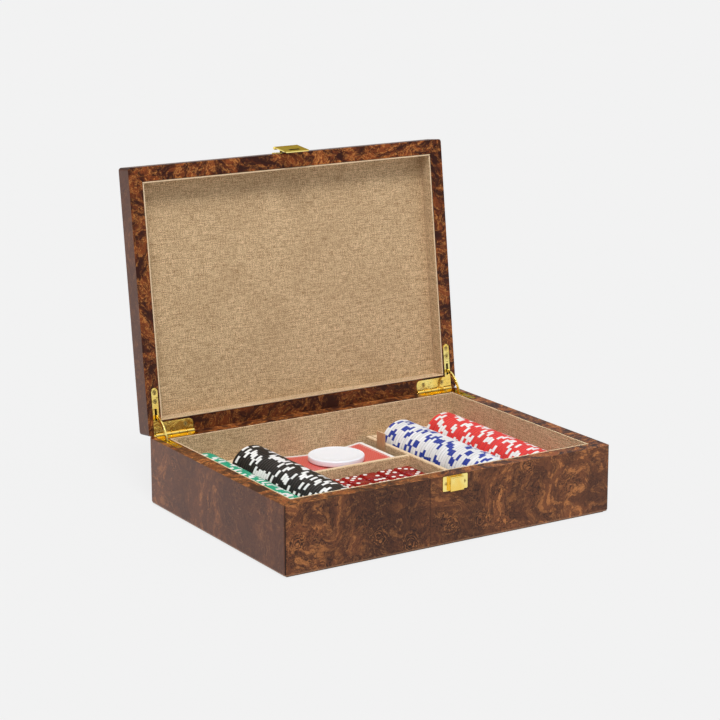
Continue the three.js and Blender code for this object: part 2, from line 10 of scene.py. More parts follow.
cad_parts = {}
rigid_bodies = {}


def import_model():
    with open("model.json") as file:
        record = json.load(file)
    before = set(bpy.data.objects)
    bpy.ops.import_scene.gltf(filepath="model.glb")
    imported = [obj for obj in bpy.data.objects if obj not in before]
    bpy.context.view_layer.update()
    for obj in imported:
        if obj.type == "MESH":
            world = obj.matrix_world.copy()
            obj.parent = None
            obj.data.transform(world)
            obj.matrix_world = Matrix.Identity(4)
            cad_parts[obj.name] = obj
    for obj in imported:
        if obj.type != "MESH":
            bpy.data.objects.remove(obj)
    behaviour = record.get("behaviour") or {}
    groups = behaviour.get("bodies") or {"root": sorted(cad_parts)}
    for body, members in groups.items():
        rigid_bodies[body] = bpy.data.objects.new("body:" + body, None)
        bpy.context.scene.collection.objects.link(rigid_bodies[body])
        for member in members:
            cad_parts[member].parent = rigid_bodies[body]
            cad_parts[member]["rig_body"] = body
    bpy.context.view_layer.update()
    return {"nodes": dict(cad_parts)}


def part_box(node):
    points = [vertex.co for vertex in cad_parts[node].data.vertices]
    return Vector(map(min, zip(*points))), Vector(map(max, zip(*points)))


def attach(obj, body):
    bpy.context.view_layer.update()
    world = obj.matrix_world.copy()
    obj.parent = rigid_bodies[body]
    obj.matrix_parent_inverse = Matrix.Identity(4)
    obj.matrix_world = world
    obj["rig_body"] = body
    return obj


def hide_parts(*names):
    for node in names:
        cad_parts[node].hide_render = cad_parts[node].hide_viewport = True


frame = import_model()


# The camera stands in front of the box, to its left and a little above, and is very slightly
# rolled. It is far away with a long lens, so that the box's edges stay nearly parallel.
CAMERA_PLACE = Vector((-0.9299, -1.4610, 0.5512))
CAMERA_AZIMUTH = math.radians(-31.995)
CAMERA_ELEVATION = math.radians(13.845)
CAMERA_ROLL = math.radians(0.136)
CAMERA_LENS = 111.0
CAMERA_SENSOR = 36
CAMERA_NEAR, CAMERA_FAR = 0.05, 60


def way_to(azimuth, elevation):
    """The direction of a place that lies at two angles: round the box from its front, and up."""
    return Vector((math.sin(azimuth) * math.cos(elevation),
                   -math.cos(azimuth) * math.cos(elevation), math.sin(elevation)))


def placed(name, data):
    """Puts a camera, a light or a mesh into the scene as an object."""
    thing = bpy.data.objects.new(name, data)
    bpy.context.scene.collection.objects.link(thing)
    return thing


camera_back = way_to(CAMERA_AZIMUTH, CAMERA_ELEVATION)
camera_right = Vector((0, 0, 1)).cross(camera_back).normalized()
camera_up = camera_back.cross(camera_right)
camera_turn = Matrix((camera_right, camera_up, camera_back)).transposed()
camera = placed("camera", bpy.data.cameras.new("camera"))
camera.data.lens = CAMERA_LENS
camera.data.sensor_width = CAMERA_SENSOR
camera.data.clip_start = CAMERA_NEAR
camera.data.clip_end = CAMERA_FAR
camera.matrix_world = (Matrix.Translation(CAMERA_PLACE) @ camera_turn.to_4x4()
                       @ Matrix.Rotation(-CAMERA_ROLL, 4, "Z"))
bpy.context.scene.camera = camera
bpy.context.scene.view_settings.view_transform = "Standard"


# The studio: a plain pale floor that runs out into a surround of the same pale grey, and one
# broad soft light from high in front, at the left, over an even fill. The classes below make
# the floor's material and every material after it.
BACKGROUND = (242, 242, 242)
FLOOR_SIZE = 60.0
FLOOR_SHADOW_SHARE = 0.08
FLOOR_GLOW = 0.99
FILL_STRENGTH = 0.18
FILL_RISE = 0.32
GLOSS_LIFT = 0.6
LIGHT_AZIMUTH = math.radians(-28)
LIGHT_ELEVATION = math.radians(62)
LIGHT_SPREAD = math.radians(22)
LIGHT_STRENGTH = 2.5
LIGHT_FAR = 3


def colour(red, green, blue):
    """A screen colour of three numbers from 0 to 255, as the linear colour that a shader takes."""
    shares = np.array([red, green, blue]) / 255
    linear = np.where(shares <= 0.04045, shares / 12.92, ((shares + 0.055) / 1.055) ** 2.4)
    return (*linear.tolist(), 1.0)


class Reading:
    """A socket of a material's nodes. Python's own signs work on its number, with one Math node
    for each sign."""

    def __init__(self, finish, socket):
        self.finish = finish
        self.socket = socket

    def math(self, operation, *values):
        """The result of one Math node on so many values."""
        return self.finish.add("ShaderNodeMath", {"operation": operation}, dict(enumerate(values)))

    def __add__(self, other):
        return self.math("ADD", self, other)

    def __sub__(self, other):
        return self.math("SUBTRACT", self, other)

    def __rsub__(self, other):
        return self.math("SUBTRACT", other, self)

    def __mul__(self, other):
        return self.math("MULTIPLY", self, other)

    def __gt__(self, other):
        return self.math("GREATER_THAN", self, other)

    def __lt__(self, other):
        return self.math("LESS_THAN", self, other)

    def __abs__(self):
        return self.math("ABSOLUTE", self)

    __radd__ = __add__
    __rmul__ = __mul__

    def wave(self):
        """The sine of the number, in radians."""
        return self.math("SINE", self)

    def share(self):
        """What is left of the number past the whole number below it."""
        return self.math("FRACT", self)

    def between(self, low, high):
        """0 at low, 1 at high, and smooth from one to the other."""
        return self.finish.add("ShaderNodeMapRange", {"interpolation_type": "SMOOTHSTEP"},
                               {"Value": self, "From Min": low, "From Max": high})


class Finish:
    """One material, or the world, whose nodes are added one at a time."""

    def __init__(self, name, block=None):
        self.material = block or bpy.data.materials.new(name)
        self.material.use_nodes = True
        self.material.node_tree.nodes.clear()

    def add(self, kind, settings, sockets, out=0):
        """Adds a node: its settings first, then each socket's value or link. Returns an output."""
        node = self.material.node_tree.nodes.new(kind)
        for key, value in settings.items():
            setattr(node, key, value)
        for key, value in sockets.items():
            if isinstance(value, Reading):
                self.material.node_tree.links.new(value.socket, node.inputs[key])
            else:
                node.inputs[key].default_value = value
        return Reading(self, node.outputs[out]) if node.outputs else None

    def split(self, whole):
        """The three numbers of a vector."""
        return [self.add("ShaderNodeSeparateXYZ", {}, {0: whole}, k) for k in range(3)]

    def parts(self, output):
        """The three numbers of the point on the object, or of the normal there."""
        return self.split(self.add("ShaderNodeTexCoord", {}, {}, output))

    def mapped(self):
        """The two numbers of the piece's own map."""
        return self.split(self.add("ShaderNodeUVMap", {"uv_map": "map"}, {}))[:2]

    def own_shade(self):
        """The piece's own shade, which its mesh carries from point to point."""
        return self.add("ShaderNodeAttribute", {"attribute_name": "shade"}, {}, "Fac")

    def rays(self):
        """1 for a ray of the camera's, for a reflected one and for one let through."""
        return [self.add("ShaderNodeLightPath", {}, {}, f"Is {kind} Ray")
                for kind in ("Camera", "Glossy", "Transmission")]

    def vector(self, operation, first, second):
        """Two vectors combined, or a vector and a number where the operation is SCALE."""
        sockets = {0: first, ("Scale" if operation == "SCALE" else 1): second}
        return self.add("ShaderNodeVectorMath", {"operation": operation}, sockets)

    def place(self, scale=(1, 1, 1)):
        """The point on the object, stretched."""
        where = self.add("ShaderNodeTexCoord", {}, {}, "Object")
        return self.add("ShaderNodeMapping", {}, {"Vector": where, "Scale": scale})

    def noise(self, where, scale, detail=3.0, roughness=0.55, out=0):
        """Cloudy noise from about 0.3 to 0.7, with so many clouds to a metre."""
        return self.add("ShaderNodeTexNoise", {}, {"Vector": where, "Scale": scale,
                        "Detail": detail, "Roughness": roughness}, out)

    def clouds(self, scale, detail=3.0, roughness=0.55):
        """The same noise at the point on the object itself."""
        return self.noise(self.place(), scale, detail, roughness)

    def mix(self, factor, *tones):
        """A colour between two, each of them a screen colour or a reading of one."""
        first, second = (tone if isinstance(tone, Reading) else colour(*tone) for tone in tones)
        return self.add("ShaderNodeMix", {"data_type": "RGBA"},
                        {0: factor, 6: first, 7: second}, 2)

    def over(self, tone, *layers):
        """A tone with screen colours laid over it in turn, each by its own mask."""
        for mask, *dye in layers:
            tone = self.mix(mask, tone, dye)
        return tone

    def raised(self, height, distance):
        """The surface's normal under a bump that is so many metres high where height is 1."""
        return self.add("ShaderNodeBump", {}, {"Height": height, "Distance": distance})

    def surface(self, **sockets):
        """Ends the material in one Principled shader and returns the material."""
        named = {key.replace("_", " "): value for key, value in sockets.items()}
        return self.end(self.add("ShaderNodeBsdfPrincipled", {}, named))

    def end(self, shader, output="ShaderNodeOutputMaterial"):
        """Ends the nodes in a shader and returns the material, or the world."""
        self.add(output, {}, {"Surface": shader})
        return self.material


def pale_floor():
    """The floor: to the camera mostly its own pale light, so that shadows stay faint."""
    finish = Finish("pale_floor")
    seen, glossy, through = finish.rays()
    shown = (seen + glossy + through) > 0.5
    speckle = finish.clouds(6.0)
    tone = finish.mix(speckle, (239, 239, 239), (245, 245, 245))
    card = finish.add("ShaderNodeBsdfDiffuse", {}, {"Color": tone})
    glow = finish.add("ShaderNodeEmission", {}, {"Color": colour(*BACKGROUND),
                                                  "Strength": FLOOR_GLOW})
    mostly = finish.add("ShaderNodeMixShader", {},
                        {"Fac": 1 - FLOOR_SHADOW_SHARE, 1: card, 2: glow})
    return finish.end(finish.add("ShaderNodeMixShader", {}, {"Fac": shown, 1: card, 2: mostly}))


floor_mesh = bpy.data.meshes.new("floor")
floor_corners = np.array([[-1, -1, 0], [1, -1, 0], [1, 1, 0], [-1, 1, 0]]) * FLOOR_SIZE / 2
floor_mesh.from_pydata(floor_corners.tolist(), [], [[0, 1, 2, 3]])
floor_mesh.materials.append(pale_floor())
placed("floor", floor_mesh)


def even_surround():
    """Pale grey to the camera; to everything else a weaker light that grows with the height, and
    grows more for reflections, as under a broad screen."""
    finish = Finish("surround", bpy.data.worlds.new("surround"))
    seen, glossy, through = finish.rays()
    height = finish.parts("Generated")[2]
    strength = height.between(-0.1, 1.0) * FILL_RISE + FILL_STRENGTH
    strength = strength + glossy * height.between(0.15, 0.85) * GLOSS_LIFT
    fill = finish.add("ShaderNodeBackground", {}, {"Color": (0.98, 0.99, 1.0, 1.0),
                                                   "Strength": strength})
    pale = finish.add("ShaderNodeBackground", {}, {"Color": colour(*BACKGROUND)})
    both = finish.add("ShaderNodeMixShader", {}, {"Fac": (seen + through) > 0.5, 1: fill, 2: pale})
    return finish.end(both, "ShaderNodeOutputWorld")


bpy.context.scene.world = even_surround()

lamp = bpy.data.lights.new("broad_light", "SUN")
lamp.energy = LIGHT_STRENGTH
lamp.angle = LIGHT_SPREAD
lamp_from = way_to(LIGHT_AZIMUTH, LIGHT_ELEVATION)
placed("broad_light", lamp).matrix_world = (
    Matrix.Translation(lamp_from * LIGHT_FAR)
    @ lamp_from.to_track_quat("Z", "Y").to_matrix().to_4x4())


# The wooden box and lid: four walls each, mitred at the corners, with a top panel in the lid.
# They are board under a dark burl veneer, stained brown and lacquered to a soft gloss; the rims
# are edged with strips of the same burl, a shade more orange than the faces.
WOOD_EDGE = 0.00032
BACK_RIM_RISE = 0.00019
LEVEL_WITHIN = 1e-5
SAME_POINT = 2e-6
SAME_PLANE = math.radians(0.5)
EDGE_STEPS = 2
ROUNDED_FROM = math.radians(32)
SMOOTH_WOOD = 20
FRONT_JOINT = -0.0225
LEAF_SHIFT = 0.83


def rounded_copy(node, name, material, edge, smooth_up_to=SMOOTH_WOOD):
    """A copy of a CAD node with its doubles merged, flat neighbours joined and edges rounded, in
    its finish. Faces that meet at fewer degrees than smooth_up_to are shaded as one."""
    work = bmesh.new()
    work.from_mesh(frame["nodes"][node].data)
    bmesh.ops.remove_doubles(work, verts=work.verts, dist=SAME_POINT)
    bmesh.ops.dissolve_limit(work, angle_limit=SAME_PLANE, verts=work.verts, edges=work.edges)
    mesh = bpy.data.meshes.new(name)
    work.to_mesh(mesh)
    work.free()
    if "custom_normal" in mesh.attributes:
        mesh.attributes.remove(mesh.attributes["custom_normal"])
    mesh.materials.clear()
    mesh.materials.append(material)
    mesh.shade_smooth()
    mesh.set_sharp_from_angle(angle=math.radians(smooth_up_to))
    piece = placed(name, mesh)
    if edge:
        bevel = piece.modifiers.new("soft_edges", "BEVEL")
        bevel.width = edge
        bevel.segments = EDGE_STEPS
        bevel.limit_method = "ANGLE"
        bevel.angle_limit = ROUNDED_FROM
        bevel.harden_normals = True
    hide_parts(node)
    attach(piece, frame["nodes"][node]["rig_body"])
    return piece


def numbers(items, key, kind=np.int32, each=1):
    """What a mesh's points, corners or faces hold under a key, as one row of numbers."""
    values = np.zeros(len(items) * each, kind)
    items.foreach_get(key, values)
    return values


def raise_top(piece, within, rise):
    """Lifts every point that lies within so much of a piece's top."""
    points = numbers(piece.data.vertices, "co", np.float32, 3)
    heights = points[2::3]
    heights[heights > heights.max() - within] += rise
    piece.data.vertices.foreach_set("co", points)


def burl(name, seed, rim_axis=None, rim_way=1, paler=0.0, joint=None, rim_painted_shade=0.0):
    """Burl veneer, laid out flat in the plane of each face.

    The point is pushed about by slow and quick noise, so that upright bands and streaks flow
    round each other. Veins run where one noise crosses its middle value. Eyes are scattered
    points: rings are a sine of the distance to the nearest, fading outwards and broken by noise,
    with dark pinholes crowded round them. Where the normal lies rim_way along rim_axis, the rim
    is edged with more orange wood, painted darker by the given share as painted shade. A dark
    line marks the mitre, and the arris of the rim is painted paler, partly as worn veneer and
    partly as a painted highlight. A given share of pale reddish haze over the face is a painted
    sheen. Past the joint a second leaf of veneer begins, warmer and more golden: partly its own
    figure and partly painted light, as if the face were lit more from the right."""
    finish = Finish(name)
    east, north, above = finish.parts("Object")
    turned = finish.parts("Normal")
    facing = [abs(share) for share in turned]
    side, level = facing[0] > 0.7, facing[2] > 0.7
    along = east + side * (north - east)
    across = above + level * (north - above)
    # Past the joint the veneer is warmer and more golden: partly a second leaf, partly painted
    # light as if lit more from the right.
    second = (along > joint) if joint is not None else 0.0
    flat = finish.add("ShaderNodeCombineXYZ", {},
                      {0: along + second * LEAF_SHIFT + seed, 1: across + seed * 0.37, 2: seed})

    def cells(place, scale, out=0):
        """How far the nearest of many scattered points is, or that point's own colour."""
        return finish.add("ShaderNodeTexVoronoi", {"voronoi_dimensions": "2D"},
                          {"Vector": place, "Scale": scale}, out)

    slow = finish.vector("SUBTRACT", finish.noise(flat, 16.0, 2.0, 0.5, 1), (0.5, 0.5, 0.5))
    quick = finish.vector("SUBTRACT", finish.noise(flat, 90.0, 3.0, 0.6, 1), (0.5, 0.5, 0.5))
    nudged = finish.vector("ADD", flat, finish.vector("SCALE", quick, 0.013))
    bent = finish.vector("ADD", nudged, finish.vector("SCALE", slow, 0.085))
    eye_place = finish.vector("ADD", flat, finish.vector("SCALE", quick, 0.006))
    eye_far = cells(eye_place, 30.0)
    eye_kind = finish.add("ShaderNodeSeparateColor", {}, {0: cells(eye_place, 30.0, 1)}, 0)
    broken = finish.noise(flat, 260.0, 3.0, 0.6).between(0.42, 0.56)
    eye = eye_far.between(0.36, 0.12) * eye_kind.between(0.45, 0.80) * (broken * 0.85 + 0.15)
    rings = ((eye_far + (finish.noise(flat, 110.0, 3.0) - 0.5) * 0.34) * 84).wave()
    pins = (cells(nudged, 420.0).between(0.36, 0.14)
            * (eye_far.between(0.42, 0.10) * 0.7 + 0.10))
    grain = finish.vector("MULTIPLY", bent, (1.0, 0.22, 1.0))
    upright = finish.vector("MULTIPLY", nudged, (1.0, 0.10, 1.0))
    broad = finish.noise(grain, 15.0, 2.0).between(0.40, 0.58)
    columns = finish.noise(upright, 34.0, 2.0).between(0.52, 0.62)
    bands = finish.noise(grain, 38.0, 3.0).between(0.42, 0.56)
    streaks = finish.noise(grain, 260.0, 4.0, 0.62).between(0.36, 0.64)
    fine = finish.noise(grain, 900.0, 3.0, 0.6).between(0.34, 0.66)
    cloud = finish.noise(bent, 62.0, 5.0, 0.62).between(0.38, 0.62)
    curl = finish.noise(bent, 300.0, 4.0, 0.65)
    gold = finish.noise(bent, 130.0, 5.0, 0.68).between(0.49, 0.63)
    crossing = finish.noise(bent, 48.0, 5.0, 0.6)
    vein = abs(crossing - 0.47).between(0.012, 0.0) * broken
    lit_vein = abs(crossing - 0.52).between(0.016, 0.0) * broken
    tone = finish.over(
        finish.mix(bands, (56, 28, 23), (106, 60, 37)),
        (streaks * 0.45, 128, 75, 44),
        ((1 - cloud) * 0.72, 52, 27, 22),
        (gold * (bands * 0.45 + second * 0.08 + 0.22) * (broad * 0.6 + 0.4), 196, 126, 70),
        ((1 - broad) * 0.66, 44, 22, 19),
        (columns * (1 - second * 0.7) * 0.6, 46, 23, 20))
    if joint is not None:
        beside = along.between(joint - 0.034, joint - 0.006) * (1 - second)
        tone = finish.over(tone, (beside * 0.34, 42, 21, 19), (second * 0.03, 198, 122, 66))
    tone = finish.over(
        tone,
        (curl.between(0.47, 0.32) * 0.6, 46, 25, 19),
        (fine * 0.20, 152, 96, 56),
        (vein * 0.75, 34, 17, 13),
        (lit_vein * 0.25, 206, 142, 86),
        (rings.between(0.0, 0.9) * eye * 0.52, 184, 118, 68),
        (rings.between(-0.1, -0.9) * eye * 0.68, 40, 21, 15),
        (pins, 30, 16, 12))
    if joint is not None:
        seam = abs(along - joint).between(0.0007, 0.0001)
        tone = finish.over(tone, (seam * 0.6, 34, 17, 13))
    # Painted sheen: a pale reddish haze over the face, standing in for the reflection of the
    # bright surround.
    if paler:
        tone = finish.over(tone, (paler, 132, 88, 72))
    if rim_axis is not None:
        flame = finish.noise(bent, 78.0, 5.0, 0.64)
        lick = abs(finish.noise(bent, 170.0, 5.0, 0.62) - 0.5).between(0.035, 0.0)
        light, arris_wear_and_highlight = ((140, 74, 34), 0.5) if rim_axis == 2 else ((136, 68, 30), 0.2)
        # The edging can be painted darker, as painted shade on the lid's lower and side rims.
        edging = finish.over(
            finish.mix(flame.between(0.40, 0.62), (52, 20, 12), light),
            (lick * flame.between(0.38, 0.56) * 0.78, 220, 148, 78),
            (curl.between(0.47, 0.34) * 0.7, 40, 18, 11),
            (rim_painted_shade, 54, 25, 14))
        tone = finish.mix((turned[rim_axis] * rim_way).between(0.86, 0.94), tone, edging)
        # Painted highlight: the arris is painted paler, partly worn veneer and partly light caught
        # on the rounded edge.
        arris = facing[rim_axis].between(0.30, 0.45) * facing[rim_axis].between(0.92, 0.80)
        mitre = abs(facing[0] - facing[1 if rim_axis == 2 else 2]).between(0.45, 0.15)
        tone = finish.over(tone, (arris * arris_wear_and_highlight, 198, 148, 106),
                           (mitre * (facing[rim_axis] < 0.3) * 0.9, 24, 12, 9))
    haze = finish.noise(flat, 12.0, 4.0)
    return finish.surface(Base_Color=tone, Roughness=haze * 0.16 + 0.34,
                          Normal=finish.raised(curl, 0.00004), Coat_Weight=0.10,
                          Coat_Roughness=0.10, Specular_IOR_Level=0.18)


def wood(node, name, material, edge=WOOD_EDGE):
    """A wooden piece of the box or lid with rounded arrises and a burl finish."""
    return rounded_copy(node, name, material, edge)


wood("base_wall_front", "box_front", burl("burl_box_front", 3.10, 2, joint=FRONT_JOINT))
box_back = wood("base_wall_back", "box_back", burl("burl_box_back", 7.71, 2), 0)
# The left walls of box and lid get a painted sheen.
wood("base_wall_left", "box_left", burl("burl_box_left", 1.93, 2, paler=0.3))
wood("base_wall_right", "box_right", burl("burl_box_right", 5.32, 2))
wood("lid_wall_front", "lid_front", burl("burl_lid_front", 11.37, 1, -1))
# The lid's lower and side rims are painted darker, as painted shade.
wood("lid_wall_back", "lid_back", burl("burl_lid_back", 4.65, 1, -1, rim_painted_shade=0.45), 0)
wood("lid_wall_left", "lid_left", burl("burl_lid_left", 2.46, 1, -1, paler=0.3, rim_painted_shade=0.2))
wood("lid_wall_right", "lid_right", burl("burl_lid_right", 6.87, 1, -1, rim_painted_shade=0.2))
wood("lid_top_panel", "lid_top", burl("burl_lid_top", 8.58))

# The back wall's rim stands a hair higher than the others, so that no light shows under the lid.
raise_top(box_back, LEVEL_WITHIN, BACK_RIM_RISE)


# The underside: a thin board let into the walls, with a felt sheet glued under it so that the
# box doesn't scratch a table. Both stay as the frame has them and get their own finishes.
def bare_board():
    """Thin board, light brown, with straight fibres along its length."""
    finish = Finish("bare_board")
    fibre = finish.noise(finish.place((12, 260, 260)), 1.0, 5.0, 0.65)
    tone = finish.mix(fibre.between(0.32, 0.68), (120, 84, 56), (158, 118, 82))
    return finish.surface(Base_Color=tone, Roughness=fibre * 0.2 + 0.55,
                          Normal=finish.raised(fibre, 0.00008))


def pressed_felt():
    """Dark brown felt: short fibres in every direction over slow uneven patches."""
    finish = Finish("pressed_felt")
    nap = finish.clouds(900.0, 5.0, 0.75)
    patches = finish.clouds(45.0, 4.0, 0.6)
    tone = finish.mix(nap.between(0.38, 0.62), (46, 28, 21), (98, 66, 50))
    tone = finish.mix(patches.between(0.4, 0.62) * 0.45, tone, (56, 36, 28))
    return finish.surface(Base_Color=tone, Roughness=0.95, Sheen_Weight=0.08,
                          Normal=finish.raised(nap, 0.00025))


def repaint(node, material):
    """Gives a CAD node its finish."""
    piece = frame["nodes"][node]
    piece.data.materials.clear()
    piece.data.materials.append(material)


repaint("base_bottom_panel", bare_board())
repaint("base_felt", pressed_felt())


# The lining: boards wrapped in a coarse flax linen and pressed in round the walls, over the
# floor, as dividers between the wells, as low ledges behind the chips and in the lid. The cloth
# is glued round each board's edge, where its folded threads catch the light.
LINEN_EDGE = 0.00035
LINEN_FOLD = 0.0002
LINEN_PITCH = 1.1
LINEN_LIGHT, LINEN_DARK = (236, 205, 162), (141, 108, 68)


def flax_linen(name, fold_axis=None):
    """Plain weave in the plane of whichever way the surface faces.

    The two coordinates in that plane are picked by the normal. Each set of threads is noise that
    changes fast across the threads and slowly along them; the weave itself is a product of two
    sines of a thread's pitch, and thick threads are a wider noise of the same kind. Where the
    normal lies along fold_axis, the cloth is folded over a board's edge and painted paler there:
    partly worn fold and partly a painted highlight on the edge that faces the light."""
    finish = Finish(name)
    east, north, above = (part * 1000 for part in finish.parts("Object"))
    facing = [abs(share) for share in finish.parts("Normal")]
    side = facing[0].between(0.55, 0.75)
    level = facing[2].between(0.55, 0.75)
    along = east + side * (north - east)
    across = above + level * (north - above)

    def threads(run, turn, stretch, fineness, shift, detail):
        """Noise that runs along one direction of the weave."""
        where_on = finish.add("ShaderNodeCombineXYZ", {},
                              {0: run * stretch, 1: turn * fineness, 2: shift})
        return finish.noise(where_on, 1.0, detail, 0.62)

    weft = threads(along, across, 0.16, 1.25, 3.0, 3.0)
    warp = threads(across, along, 0.16, 1.25, 9.0, 3.0)
    slubs = threads(along, across, 0.05, 0.55, 15.0, 2.0)
    fibres = threads(along, across, 1.3, 1.7, 21.0, 3.0)
    pitch = 2 * math.pi / LINEN_PITCH
    crossing = (along * pitch).wave() * (across * pitch).wave()
    cloth = (weft + warp) * 0.5 + (slubs - 0.5) * 0.22 + (fibres - 0.5) * 1.30
    shade = (cloth + crossing * 0.015).between(0.32, 0.68)
    slow = finish.clouds(22.0, 2.0).between(0.35, 0.7)
    tone = finish.mix(slow * 0.18, finish.mix(shade, LINEN_DARK, LINEN_LIGHT), LINEN_DARK)
    if fold_axis is not None:
        # Painted highlight: folded edges are painted paler, partly wear and partly light on the
        # edge.
        folded = facing[fold_axis].between(0.75, 0.92)
        tone = finish.mix(folded * 0.75, tone, (240, 214, 178))
    height = cloth * 0.7 + crossing * 0.22
    return finish.surface(Base_Color=tone, Roughness=0.92, Sheen_Weight=0.15,
                          Normal=finish.raised(height, 0.00025))


linen_flat = flax_linen("linen_flat")
linen_box = flax_linen("linen_box", 2)
linen_lid = flax_linen("linen_lid", 1)


def lined(node, name, linen=linen_box):
    """A board wrapped in linen."""
    return rounded_copy(node, name, linen, LINEN_EDGE)


lined("base_lining_floor", "lining_floor", linen_flat)
for lined_side in ("front", "back", "left", "right"):
    lining = lined("base_lining_" + lined_side, "lining_box_" + lined_side)
    if lined_side == "front":
        raise_top(lining, 2 * LINEN_EDGE, LINEN_FOLD)
    lined("lid_lining_" + lined_side, "lining_lid_" + lined_side, linen_lid)
lined("lid_lining_panel", "lining_lid_panel", linen_flat)
for lined_side in ("left", "right"):
    lined("card_divider_" + lined_side, "divider_cards_" + lined_side)
    lined("chip_divider_" + lined_side, "divider_chips_" + lined_side)
    lined("ledge_" + lined_side, "ledge_chips_" + lined_side)
lined("cross_divider", "divider_dice")


# The tab at the right of the card well: a strip of stiff tan card, glued upright against the
# divider and left unwrapped, with a smooth face and a cut edge painted paler where it faces up,
# partly the cut card's own colour and partly a painted highlight.
def stiff_card():
    """Tan card: short upright fibres, faint handling marks, and the edge facing up painted paler:
    partly the cut card's own colour, partly a painted highlight.
    """
    finish = Finish("stiff_card")
    fibre = finish.noise(finish.place((900, 900, 160)), 1.0, 4.0, 0.6)
    marks = finish.clouds(160.0, 3.0)
    tone = finish.mix(fibre.between(0.3, 0.7), (176, 132, 94), (198, 155, 114))
    tone = finish.mix(marks.between(0.55, 0.7) * 0.3, tone, (140, 98, 74))
    # Painted highlight: the edge facing up is painted paler, partly cut card and partly light.
    upward = abs(finish.parts("Normal")[2]).between(0.6, 0.85)
    tone = finish.mix(upward * 0.8, tone, (222, 194, 158))
    return finish.surface(Base_Color=tone, Roughness=0.75,
                          Normal=finish.raised(fibre, 0.00006))


rounded_copy("card_well_tab", "tab_cards", stiff_card(), LINEN_EDGE)


# Four rows of gaming chips, fifty to a row, lying on their edges side by side. Each is moulded
# in one piece with six rectangular edge spots of another colour, and lies turned at random.
CHIP_RADIUS = 0.0195
CHIP_THICK = 0.0034
CHIP_COUNT = 50
CHIP_EDGE_ROUND = 0.00042
CHIP_GAP = 0.00003
CHIP_STEPS = 72
CHIP_SPOTS = 6
CHIP_SLIP = 0.00016
SPOT_LENGTH = 0.0064
RING_SHARP_FROM = math.radians(40)
CHIP_FACE_RINGS = (0.982, 0.90, 0.80, 0.79, 0.66, 0.65, 0.30, 0.06)
CHIP_FACE_DEPTHS = (0.0, 0.0, 0.0, 0.00018, 0.00018, 0.0, 0.0, 0.0)


def ring_mesh(name, points, uv=None, shades=None):
    """A closed mesh of rings of points, a row to each: four neighbours make a face, the last
    column joins the first, and the first and last rings close on a point in their middle. It
    faces outwards, by the sign of its volume. The uv grid has one column more than the points."""
    rows, columns = points.shape[:2]
    index = np.arange(rows * columns).reshape(rows, columns)
    row, here = np.meshgrid(np.arange(rows - 1), np.arange(columns), indexing="ij")
    after = (here + 1) % columns
    quads = np.stack([index[row, here], index[row, after], index[row + 1, after],
                      index[row + 1, here]], -1).reshape(-1, 4)
    vertices = np.vstack([points.reshape(-1, 3), points[0].mean(0), points[-1].mean(0)])
    first = np.stack([np.full(columns, rows * columns), index[0, after[0]], index[0]], -1)
    last = np.stack([np.full(columns, rows * columns + 1), index[-1], index[-1, after[0]]], -1)
    fans = np.vstack([first, last])
    a, b, c = (vertices[np.vstack([quads[:, :3], quads[:, [0, 2, 3]], fans])[:, n]]
               for n in range(3))
    outward = (np.cross(b - a, c - a) * a).sum() > 0
    corner_order = slice(None) if outward else slice(None, None, -1)
    mesh = bpy.data.meshes.new(name)
    mesh.from_pydata(vertices.tolist(), [],
                     quads[:, corner_order].tolist() + fans[:, corner_order].tolist())
    if uv is not None:
        sides = np.stack([uv[row, here], uv[row, here + 1], uv[row + 1, here + 1],
                          uv[row + 1, here]], 2).reshape(-1, 4, 2)
        poles = [np.stack([uv[end, :-1, 0], np.zeros(columns)], -1) for end in (0, -1)]
        caps = np.vstack([np.stack([poles[0], uv[0, 1:], uv[0, :-1]], 1),
                          np.stack([poles[1], uv[-1, :-1], uv[-1, 1:]], 1)])
        corners = np.vstack([part[:, corner_order].reshape(-1, 2) for part in (sides, caps)])
        mesh.uv_layers.new(name="map").data.foreach_set("uv", corners.astype(np.float32).ravel())
    if shades is not None:
        values = np.append(shades.ravel(), [shades[0, 0], shades[-1, 0]])
        mesh.attributes.new("shade", "FLOAT", "POINT").data.foreach_set(
            "value", values.astype(np.float32))
    mesh.shade_smooth()
    mesh.set_sharp_from_angle(angle=RING_SHARP_FROM)
    return mesh


def piece_of(mesh, body, slot, material, *stands_for):
    """Puts a mesh into the scene as a piece of the same name that rides on a body."""
    mesh.materials.append(material)
    piece = placed(mesh.name, mesh)
    if stands_for:
        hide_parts(*stands_for)
    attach(piece, body)


def turns(steps):
    """The angles of so many points spread evenly round a circle."""
    return np.arange(steps) / steps * 2 * math.pi


def box_of(node):
    """A CAD node's low corner, high corner and middle."""
    low, high = (np.array(corner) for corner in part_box(node))
    return low, high, (low + high) / 2


